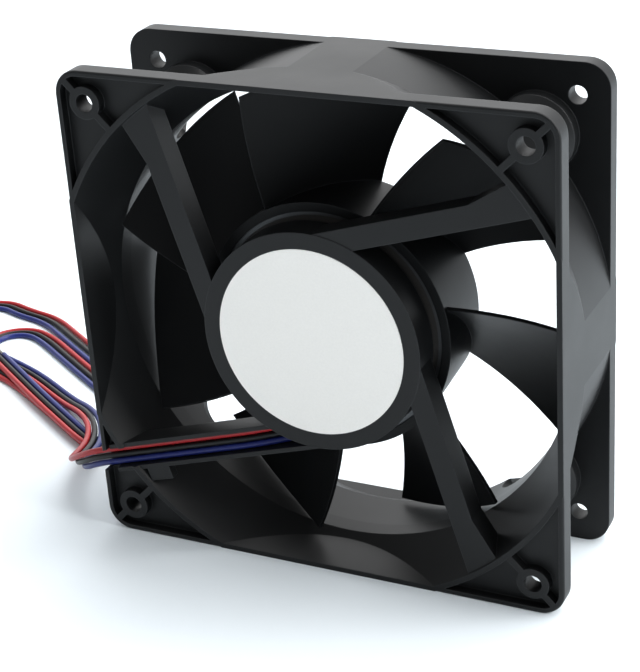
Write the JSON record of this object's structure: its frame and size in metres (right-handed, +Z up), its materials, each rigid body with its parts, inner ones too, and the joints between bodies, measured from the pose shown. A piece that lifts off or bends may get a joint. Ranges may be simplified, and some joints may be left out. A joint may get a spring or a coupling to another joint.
{
  "type": "cooling fan",
  "caption": "Square axial cooling fan with a brushless motor on struts, twisted blades in a round duct, corner mounting holes and a hank of leads.",
  "frame": {"origin": "centre of the footprint of the frame, on the surface that its lower edge stands on", "axes": "+Z up, -Y the way the air leaves (face with the struts and the label), +X to the right seen from that face"},
  "size_m": [0.2357, 0.1068, 0.12],
  "materials": {
    "frame_plastic": "moulded black plastic, satin",
    "blade_plastic": "moulded black plastic, satin",
    "label_paper": "plain off-white paper label",
    "cup_steel": "drawn and plated steel",
    "magnet_ferrite": "bonded ferrite, dark grey",
    "ground_steel": "ground bearing steel",
    "spring_steel": "spring steel",
    "brass": "turned brass",
    "core_steel": "stacked silicon steel",
    "insulator_nylon": "natural nylon",
    "winding_copper": "enamelled copper wire",
    "board_laminate": "green glass laminate with solder mask",
    "chip_epoxy": "moulded epoxy",
    "capacitor_can": "drawn aluminium can",
    "solder_tin": "tinned solder",
    "lead_pvc_red": "red PVC insulation",
    "lead_pvc_black": "black PVC insulation",
    "lead_pvc_blue": "blue PVC insulation"
  },
  "bodies": {
    "housing": {"frame": "frame_plastic", "label": "label_paper", "bearing_tube": "brass", "stator_core": "core_steel", "inlet_insulator": "insulator_nylon", "outlet_insulator": "insulator_nylon", "coil_1": "winding_copper", "coil_2": "winding_copper", "coil_3": "winding_copper", "coil_4": "winding_copper", "driver_board": "board_laminate", "hall_sensor": "chip_epoxy", "driver_chip": "chip_epoxy", "board_capacitor": "capacitor_can", "lead_terminals": "solder_tin", "outlet_bearing_outer_ring": "ground_steel", "outlet_bearing_shields": "ground_steel", "inlet_bearing_outer_ring": "ground_steel", "inlet_bearing_shields": "ground_steel", "lead_red": "lead_pvc_red", "lead_black": "lead_pvc_black", "lead_blue": "lead_pvc_blue", "lead_hank": "lead_pvc_black"},
    "rotor": {"impeller": "blade_plastic", "rotor_cup": "cup_steel", "ring_magnet": "magnet_ferrite", "shaft": "ground_steel", "shaft_bush": "brass", "retaining_clip": "spring_steel", "preload_washer": "spring_steel", "outlet_bearing_inner_ring": "ground_steel", "inlet_bearing_inner_ring": "ground_steel"}
  },
  "joints": [
    {"name": "rotor_spin", "type": "hinge", "parent": "housing", "child": "rotor", "pos_m": [0, 0, 0.06], "axis": [0, 1, 0], "continuous": true}
  ]
}
